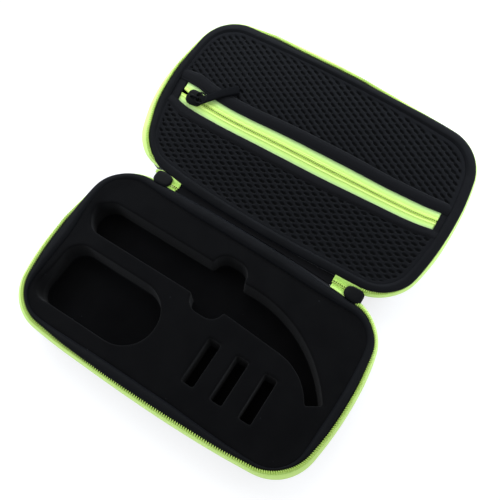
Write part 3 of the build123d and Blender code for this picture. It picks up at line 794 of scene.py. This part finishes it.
chain_z = 29.4
chain_from = {"left": 59.6, "right": 61.7}
end_reach = {"left": 80.6, "right": 84.4}
end_tape_thick = 0.55
split_wide = 2.4
mouth_back = 2.4
heart_gap = 0.45
rim_tuck = 4.6
tape_rise = 0.35
tape_ribs = 0.12
slider_reach = {"left": 72.2, "right": 78.2}
slider_aside = {"left": 0.7, "right": -1.3}
end_columns, end_rows = 25, 10
# The lid's left tape narrows past here, where its corner is drawn in.
narrow_from = 76.0
narrow_share = 0.55
chain_step = 0.2
# Reach to each side, rise, pitch and radius of the wire.
chain_coil = (1.05, 0.62, 1.5, 0.33)

for side_name, hand in (("left", -1), ("right", 1)):
    reach = end_reach[side_name]
    mouth = slider_reach[side_name] - mouth_back
    for half_name, side in (("base", -1), ("lid", 1)):
        points, marks = [], []
        start = chain_from[side_name] + (0.9 if side < 0 else 0.0)
        drawn_in = (side_name, half_name) == ("left", "lid")
        for layer in (0, 1):
            for i in range(end_columns):
                x = start + (reach - start) * i / (end_columns - 1)
                under_rim = across_valley(x, chain_z + 0.25, side, rim_tuck)
                parted = max(0.0, (x - mouth) / (reach - mouth)) * split_wide
                heart = Vector((x, hinge_y + side * (heart_gap + parted), chain_z))
                narrow = max(0.0, (x - narrow_from) / 5) * narrow_share if drawn_in else 0.0
                for j in range(end_rows):
                    share = j / (end_rows - 1)
                    spot = heart.lerp(under_rim, share * (1 - narrow))
                    spot.z += tape_rise * share * share + tape_ribs * math.sin(share * 9)
                    spot.z -= end_tape_thick * layer
                    spot.x *= hand
                    points.append(spot)
                    marks.append((x, 1.15 + share * 0.6, 0.0))
        faces = both_sides(end_columns, end_rows)
        end_name = "zip_end_" + side_name + "_" + half_name
        end_tape = build(end_name, points, faces, base_frame, tape_cloth, marks)
        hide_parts("zip_end_tape_" + side_name)
        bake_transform(end_tape)
    points, faces = [], []
    start = chain_from[side_name] + 0.4
    count = int((slider_reach[side_name] + 0.2 - start) / chain_step)
    spots = [Vector((hand * (start + chain_step * k), hinge_y, chain_z + 0.25)) for k in range(count)]
    line = [(spot, chain_step * k) for k, spot in enumerate(spots)]
    for way in (-1, 1):
        more, more_faces = wire_round(line, [Vector((0, way, 0))] * len(line), *chain_coil)
        faces += [tuple(len(points) + v for v in face) for face in more_faces]
        points += more
    chain = build("zip_end_chain_" + side_name, points, faces, base_frame, filament)
    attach(chain, "zip_end_" + side_name)
    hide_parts("zip_end_coil_" + side_name)

# --- Sliders, pullers and ring ---
# Die-cast zinc, sprayed black and baked: a smooth half-gloss with faint orange peel.
# The main pullers hang outside at the hinge, the pocket's puller is a moulded strap on a wire ring.

look = {"Roughness": 0.34, "Specular IOR Level": 0.07}
enamel = grained("zinc_sprayed_black", look, (1.5, 2.0), ("050607", "08090B"), depth=0.1)
dress(["main_puller_left", "main_puller_right", "pocket_ring"], enamel)

channel = 1.2
# A plate from its channel to its crown, as (inset, height).
plate_rings = (
    *((0.85, 0.65), (0.1, 0.65), (0.0, 0.85), (0.0, 1.55), (0.1, 1.85)),
    *((0.35, 2.1), (0.8, 2.3), (1.5, 2.42), (2.6, 2.5), (3.8, 2.55)),
)
# A slider's length, its width and how high its bridge rises.
main_slider_size = (13.2, 10.0, 2.1)
plate_sides = 48
mouth_long = 1.7
post_wide = 0.9
arch_wide = 0.75
arch_thick = 0.4
arch_span = 3.1
arch_steps = 16


def plate_half(length, width, upward):
    """One of a slider's two plates, crowned, with a flange down both sides and open ends."""
    points = []
    for inset, height in plate_rings:
        for k in range(plate_sides):
            angle = 2 * math.pi * k / plate_sides
            cos, sin = math.cos(angle), math.sin(angle)
            along = math.copysign(abs(cos) ** 0.62, cos)
            across = math.copysign(abs(sin) ** 0.7, sin)
            x = along * (length / 2 - inset)
            broad = width / 2 * (1 + 0.07 * along - 0.05 * along * along)
            y = across * (broad - inset)
            open_end = held((abs(x) - length / 2 + mouth_long) / 0.5)
            z = height + max(0.0, channel - height) * open_end
            points.append(Vector((x, y, z * upward)))
    rings = len(plate_rings)
    faces = [(a, d, c, b) for a, b, c, d in grid_faces(rings, plate_sides, wrap_columns=True)]
    top = len(points)
    points.append(Vector((0, 0, (plate_rings[-1][1] + 0.01) * upward)))
    roof = len(points)
    points.append(Vector((0, 0, channel * upward)))
    last = (rings - 1) * plate_sides
    for k in range(plate_sides):
        faces.append((last + k, last + (k + 1) % plate_sides, top))
        faces.append(((k + 1) % plate_sides, k, roof))
    if upward < 0:
        faces = [face[::-1] for face in faces]
    return points, faces


def slider_mesh(length, width, bridge_rise, bridge_up):
    """A coil-zip slider about its channel's centre, nose towards +X: two plates, a post and a bridge."""
    points, faces = [], []
    for upward in (1, -1):
        more, more_faces = plate_half(length, width, upward)
        faces += [tuple(len(points) + v for v in face) for face in more_faces]
        points += more
    nose = length / 2 - 0.45
    lens = [(nose - 2.3, 0.0), (nose - 1.6, 0.62), (nose - 0.8, post_wide), (nose, 0.7), (nose + 0.1, 0.0)]
    ring = lens + [(x, -y) for x, y in lens[-2:0:-1]]
    faces += [tuple(len(points) + v for v in face) for face in tube_faces(2, len(ring))]
    for z in (-channel - 0.2, channel + 0.2):
        points += [Vector((x, y, z)) for x, y in ring]
    first = len(points)
    foot = plate_rings[-1][1] - 0.25
    for k in range(arch_steps + 1):
        angle = math.pi * k / arch_steps
        cos, sin = math.cos(angle), math.sin(angle)
        x = -arch_span * math.copysign(abs(cos) ** 0.6, cos)
        z = foot + (bridge_rise + arch_thick) * sin**0.6
        out = Vector((-cos, 0, sin)).normalized()
        flare = 1 + 0.5 * (1 - sin) ** 2
        for dy, dn in ((-1, -1), (1, -1), (1, 0.4), (0.6, 1), (-0.6, 1), (-1, 0.4)):
            spot = Vector((x, dy * arch_wide * flare, z)) + out * (dn * arch_thick)
            spot.z *= bridge_up
            points.append(spot)
    arch = [tuple(first + v for v in face) for face in tube_faces(arch_steps + 1, 6)]
    faces += arch if bridge_up < 0 else [face[::-1] for face in arch]
    return points, faces


for side_name, hand in (("left", -1), ("right", 1)):
    spot = (hand * slider_reach[side_name], hinge_y + slider_aside[side_name], chain_z)
    where = base_frame @ Matrix.Translation(spot)
    if hand < 0:
        where = where @ Matrix.Rotation(math.pi, 4, "Z")
    points, faces = slider_mesh(*main_slider_size, -1)
    slider = build("slider_body_" + side_name, points, faces, where, enamel)
    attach(slider, "main_slider_" + side_name)
    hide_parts("main_slider_" + side_name)

# Moulded rubber: matt, with the fine spark-eroded grain of its mould.
look = {"Roughness": 0.75, "Specular IOR Level": 0.06}
rubber = grained("moulded_rubber_black", look, (1.8, 3.0), ("050608", "08090C"), depth=0.3)

# The strap's middle line in the lid's half, how broad it is at each of its points, and its cross-section.
strap_line = (
    *((-80.3, 3.6, 31.0), (-77.0, -0.4, 31.0), (-73.6, -4.6, 30.8)),
    *((-70.0, -8.8, 30.6), (-66.0, -12.8, 30.4), (-61.5, -16.9, 30.3)),
)
strap_wide = (5.4, 5.6, 5.6, 5.9, 6.3, 6.8)
strap_long = 27.0
strap_thick = 0.7
strap_end = 1.8
strap_steps = 40
strap_sides = (
    *((-1.0, 0.0), (-0.92, 0.75), (-0.6, 1.0), (0.0, 1.0), (0.6, 1.0)),
    *((0.92, 0.75), (1.0, 0.0), (0.9, -0.8), (-0.9, -0.8)),
)


def along_line(values, share):
    """A smooth value at a share of an open line, from values at even steps."""
    place = min(share, 0.9999) * (len(values) - 1)
    k = int(place)
    near = [values[min(max(k + j, 0), len(values) - 1)] for j in (-1, 0, 1, 2)]
    return smooth_between(*near, place - k)


def strap_spot(share):
    """The strap's middle at a share of its length, held between its two ends."""
    return Vector([along_line([spot[axis] for spot in strap_line], held(share)) for axis in range(3)])


points = []
for k in range(strap_steps + 1):
    share = math.sin(math.pi / 2 * k / strap_steps)
    along = (strap_spot(share + 0.02) - strap_spot(share - 0.02)).normalized()
    across = along.cross(Vector((0, 0, 1))).normalized()
    left_over = min(1.0, (1 - share) * strap_long / strap_end)
    rounding = math.sqrt(1 - (1 - left_over) ** 2)
    broad = along_line(strap_wide, share) / 2 * (0.45 + 0.55 * rounding)
    thick = strap_thick * (0.5 + 0.5 * rounding)
    for side_place, lift in strap_sides:
        points.append(strap_spot(share) + across * (broad * side_place) + Vector((0, 0, lift * thick)))
faces = tube_faces(strap_steps + 1, len(strap_sides))
strap = build("pocket_puller_strap", points, faces, lid_frame, rubber)
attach(strap, "pocket_puller")
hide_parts("pocket_puller")

# --- Mesh pocket panels ---
# Spacer mesh: a knitted face with staggered lozenge holes over a backing, sewn under the lid's rim.
# It is springy, so its face swells a little between the seams.

zip_tilt = math.radians(-2.0)
zip_centre_y = -0.8
sag_half = 100.0
sag_reach = 46.0
sag_fade = 30.0
# From end to end of the pocket, in even steps: how far the zip sags, and how broad it lies.
zip_sag = (-0.4, 1.0, 2.4, 3.1, 3.6, 3.7, 3.65, 3.45, 3.35, 3.3, 3.3, 3.35, 3.35, 3.3, 3.25, 3.25)
zip_sag += (3.2, 3.05, 2.8, 2.2, 1.1)
zip_broad = (0.97, 1.12, 1.08, 1.04, 1.01, 1.005, 1.01, 1.03, 1.05, 1.06, 1.065, 1.065)
zip_broad += (1.06, 1.045, 1.02, 0.99, 0.965, 0.96, 0.95, 0.925, 0.89)
binding_from = 7.25
binding_to = {"hinge_side": 13.3, "front_side": 15.0}
mesh_inset = 8.1
mesh_top = 29.15
mesh_swell = 0.7
mesh_depth = 46.0
hole_depth = 1.15
mesh_edge = 0.9
mesh_tuck = 0.9
yarn_per_mm = 1.7
hole_rim = 0.45
rim_cover = 10.4
mesh_step = 0.4
margin_from, margin_wide, tuck_wide = 9.0, 4.0, 3.0
swell_patches = 22.0
# Each panel's lozenges: the two steps to the next ones, their half length and breadth, and their lean.
hole_grids = {
    "hinge_side": {"steps": ((4.66, -2.21), (3.82, 2.33)), "long": 2.05, "wide": 0.95, "lean": 0.0},
    "front_side": {"steps": ((4.03, -2.24), (4.30, 2.25)), "long": 2.25, "wide": 0.92, "lean": 0.34},
}


def sagged(u, v):
    """Where a line across the zip at v ends up, once the soft pocket sags and the tape draws in."""
    near = held((sag_reach - abs(v)) / sag_fade)
    share = held((u + sag_half) / (2 * sag_half))
    broad = 1 + (along_line(zip_broad, share) - 1) * near
    return v * broad + along_line(zip_sag, share) * near


def zip_place(u, v, height):
    """A point in the pocket zip's own directions, along it and across it, on the half drawn face up."""
    v = sagged(u, v)
    x = u * math.cos(zip_tilt) - v * math.sin(zip_tilt)
    y = zip_centre_y + u * math.sin(zip_tilt) + v * math.cos(zip_tilt)
    return Vector((x, y, height))


def reach_along(v, inset):
    """The lowest and highest u at which the line at this v meets the outline inside by the inset."""
    return [sign * last_inside(lambda u: zip_place(sign * u, v, 0), 0.0, 125.0, inset) for sign in (-1, 1)]


def hole_here(u, v, grid):
    """How deep into a hole this point is, from 0 on the knit to 1 in a hole."""
    (au, av), (bu, bv) = grid["steps"]
    size = au * bv - av * bu
    across, along = (u * bv - v * bu) / size, (v * au - u * av) / size
    across, along = across - round(across), along - round(along)
    cos, sin = math.cos(grid["lean"]), math.sin(grid["lean"])
    nearest = 9.0
    for m in (-1, 0, 1):
        for n in (-1, 0, 1):
            du = (across - m) * au + (along - n) * bu
            dv = (across - m) * av + (along - n) * bv
            run, rise = du * cos + dv * sin, dv * cos - du * sin
            nearest = min(nearest, math.hypot(run / grid["long"], rise / grid["wide"]))
    return held((1.0 + hole_rim / 2 - nearest) / hole_rim)


# Knitted polyester mesh: matt black threads, with painted shade making the holes blacker, which the cloth's
# third mark tells.
look = {"Roughness": 0.8, "Specular IOR Level": 0.085, "Sheen Weight": 0.05}
air_mesh, tree, shader = new_material("spacer_mesh_black", look)
mark = add(tree, "Attribute", {"attribute_name": "cloth_mm"})
split = add(tree, "SeparateXYZ", links={0: mark.outputs["Vector"]})
place = add(tree, "TexCoord").outputs["Object"]
yarn = add(tree, "TexNoise", {"Scale": 1000 * yarn_per_mm, "Detail": 3.0}, {"Vector": place})
# The second tone, in the holes, is painted shade.
tones = ("090A0D", "060708")
coat(tree, shader, split.outputs[2], tones, (0.0, 1.0), yarn.outputs[0], depth=0.4, relief_mm=0.2)

step = mesh_step
for side_name, side in (("hinge_side", 1), ("front_side", -1)):
    start = binding_to[side_name]
    tucked = start - mesh_tuck
    left, right_end = reach_along(side * (start + 0.3), mesh_inset)
    columns = int((right_end - left) / step)
    rows = int(mesh_depth / step)
    points, marks = [], []
    for i in range(columns + 1):
        u = left + (right_end - left) * i / columns
        far = last_inside(lambda v: zip_place(u, side * v, 0), start, 60.0, mesh_inset)
        far = max(far, start + 0.02)
        for j in range(rows + 1):
            v = tucked + (far - tucked) * j / rows
            into = hole_here(u, sagged(u, side * v), hole_grids[side_name])
            spot = zip_place(u, side * v, 0)
            inset, normal, way = inside(spot.x, spot.y)
            margin = held((inset - margin_from) / margin_wide) * held((v - tucked) / tuck_wide)
            hidden = max(rim_cover, around(rim_inner["lid"], way) + 0.8)
            into *= held(inset - hidden) * held(v - start)
            uneven = noise.noise(Vector((spot.x / swell_patches, spot.y / swell_patches, 3.0)))
            swell = mesh_swell * margin * (1 + 0.6 * uneven)
            edge = mesh_edge * math.exp(-((max(0.0, inset - hidden + 1.5) / 2.2) ** 2))
            spot.z = mesh_top - 0.3 * (1 - margin) + swell * 0.5 + edge - hole_depth * into
            points.append(spot)
            marks.append((u, v, into))
    faces = grid_faces(columns + 1, rows + 1)
    panel = build("mesh_" + side_name, points, faces, lid_frame, air_mesh, marks)
    if side > 0:
        panel.data.flip_normals()
    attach(panel, "lid")
    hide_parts("mesh_panel_" + side_name)

# --- Pocket bindings and end tabs ---
# Strips of plain knit, folded and sewn over the mesh's edge along both sides of the zip.
# Two sewn rows press a groove into each strip, and a short tab closes each end.

binding_top = 29.15
binding_thick = 0.0008
binding_rows, binding_columns = 16, 200
seam_places = (0.14, 0.86)
seam_deep = 0.22
seam_wide = 0.05
binding_swell = 0.75
binding_ripple = 0.1
zip_left, zip_right = -96.9, 99.9
tab_columns, tab_rows = 12, 16


def thicken(cloth, thickness):
    """Gives a single layer of cloth its thickness, away from its face."""
    thick = cloth.modifiers.new("thick", "SOLIDIFY")
    thick.thickness = thickness
    thick.offset = -1


# The mesh's own knit without its holes: matt and soft, a shade above the velvet.
look = {"Roughness": 0.8, "Specular IOR Level": 0.09, "Sheen Weight": 0.05}
yarn = (yarn_per_mm, 3.0)
tones = ("070709", "0B0C0F")
plain_knit = grained("plain_knit_black", look, yarn, tones, (0.3, 0.7), depth=0.4, relief_mm=0.2)

for side_name, side in (("hinge_side", 1), ("front_side", -1)):
    v_low, v_high = binding_from - 0.05, binding_to[side_name]
    points = []
    for j in range(binding_rows + 1):
        share = j / binding_rows
        v = v_low + (v_high - v_low) * share
        left, right_end = reach_along(side * v, mesh_inset)
        body_up = (1 - abs(2 * share**1.9 - 1) ** 2.4) ** 0.7
        seam = sum(seam_deep * math.exp(-(((share - at) / seam_wide) ** 2)) for at in seam_places)
        for i in range(binding_columns + 1):
            u = left + (right_end - left) * i / binding_columns
            spot = zip_place(u, side * v, 0)
            ripple = binding_ripple * noise.noise(Vector((spot.x / 6, spot.y / 6, 1.0)))
            spot.z = binding_top - 0.7 + (binding_swell + ripple) * body_up - seam
            points.append(spot)
    faces = grid_faces(binding_rows + 1, binding_columns + 1)
    binding = build("binding_" + side_name, points, faces, lid_frame, plain_knit)
    if side < 0:
        binding.data.flip_normals()
    thicken(binding, binding_thick)
    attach(binding, "lid")
    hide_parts("pocket_binding_" + side_name)

for side_name, side in (("left", -1), ("right", 1)):
    start = zip_left if side < 0 else zip_right
    points = []
    for j in range(tab_rows + 1):
        v = (binding_from + 0.3) * (2 * j / tab_rows - 1)
        stop = reach_along(v, mesh_inset)[0 if side < 0 else 1]
        for i in range(tab_columns + 1):
            u = start + (stop - start) * i / tab_columns
            spot = zip_place(u, v, 0)
            spot.z = binding_top - 0.25 - 0.5 * max(0.0, 1 - i / 2)
            points.append(spot)
    faces = grid_faces(tab_rows + 1, tab_columns + 1)
    tab = build("end_tab_" + side_name, points, faces, lid_frame, plain_knit)
    if side > 0:
        tab.data.flip_normals()
    thicken(tab, binding_thick)
    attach(tab, "lid")
    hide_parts("pocket_end_tab_" + side_name)

# --- Pocket zip: tapes and closed coil ---
# The same lime tape in a lighter size, sewn between the bindings with its coil closed to the right.
# Left of the slider the two tapes part in a V.

tape_face = 28.0
pocket_scale = 0.868
split_from = -90.5
split_spread = 0.9
hinge_slope = 0.11
pocket_twill = 1.1
pocket_thick = 0.00055
pocket_columns = 240
coil_from, coil_to = -90.0, 99.6
coil_step = 0.4
coil_spots = round((coil_to - coil_from) / coil_step) + 1
pocket_coil = (1.0, 0.62, 1.45, 0.32)
# Half the tape's cross-section as (way across, height), from the coil to the edge under the binding.
pocket_section = (
    *((0.42, -0.25), (0.6, 0.12), (1.0, 0.3), (1.4, 0.22), (1.65, -0.08), (1.95, -0.1), (2.2, 0.2)),
    *((2.6, 0.3), (3.0, 0.18), (3.25, -0.1), (3.6, -0.02), (4.4, 0.03), (5.2, 0.0), (6.0, 0.03)),
    *((6.5, 0.0), (6.8, -0.02), (7.05, 0.02), (7.6, 0.08), (8.1, 0.04), (8.34, -0.15)),
)

# The tape again, striped in its own places: olive at the coil, two bright ribs, a field and a pale edge.
stripes = (
    (0.05, "A2BA48"),
    (0.11, "A9C953"),
    (0.15, "BEE068"),
    (0.20, "E2FF8C"),
    (0.28, "E4FF90"),
    (0.35, "CDF07C"),
    (0.42, "BFE774"),
    (0.50, "C8EE7E"),
    (0.58, "CCF488"),
    (0.68, "CEF692"),
    (0.80, "C4E892"),
    (0.95, "B8DC92"),
)
pocket_cloth = striped_twill("woven_pocket_tape_lime", stripes, pocket_twill)

pocket_slider_size = (12.6, 11.0, 2.6)
slider_centre = (-85.875, 1.2, 27.65)
along_zip = Matrix.Translation((0, zip_centre_y, 0)) @ Matrix.Rotation(zip_tilt, 4, "Z")
where = lid_frame @ along_zip @ Matrix.Translation(slider_centre) @ Matrix.Rotation(math.pi, 4, "Z")
points, faces = slider_mesh(*pocket_slider_size, 1)
slider = build("pocket_slider_body", points, faces, where, enamel)
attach(slider, "pocket_slider")
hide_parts("pocket_slider")

for side_name, side in (("hinge_side", 1), ("front_side", -1)):
    points, marks = [], []
    for i in range(pocket_columns + 1):
        u = zip_left + (zip_right - zip_left) * i / pocket_columns
        spread = split_spread * held((split_from - u) / (split_from - zip_left))
        for v, lift in pocket_section:
            shifted = pocket_scale * v + spread * max(0.0, 1 - v / tape_width)
            slope = hinge_slope * max(0.0, side * (v - 1.0))
            points.append(zip_place(u, side * shifted, tape_face + lift - slope))
            marks.append((u, v, 0.0))
    faces = grid_faces(pocket_columns + 1, len(pocket_section))
    tape = build("pocket_tape_" + side_name + "_woven", points, faces, lid_frame, pocket_cloth, marks)
    if side < 0:
        tape.data.flip_normals()
    thicken(tape, pocket_thick)
    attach(tape, "lid")
    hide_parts("pocket_tape_" + side_name)
    spots = [zip_place(coil_from + coil_step * k, 0, tape_face - 0.55) for k in range(coil_spots)]
    line = [(spot, coil_step * k) for k, spot in enumerate(spots)]
    outward = (zip_place(0, side, 0) - zip_place(0, 0, 0)).normalized()
    points, faces = wire_round(line, [outward] * len(line), *pocket_coil)
    coil = build("pocket_coil_" + side_name + "_wound", points, faces, lid_frame, filament)
    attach(coil, "lid")
    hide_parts("pocket_coil_" + side_name)
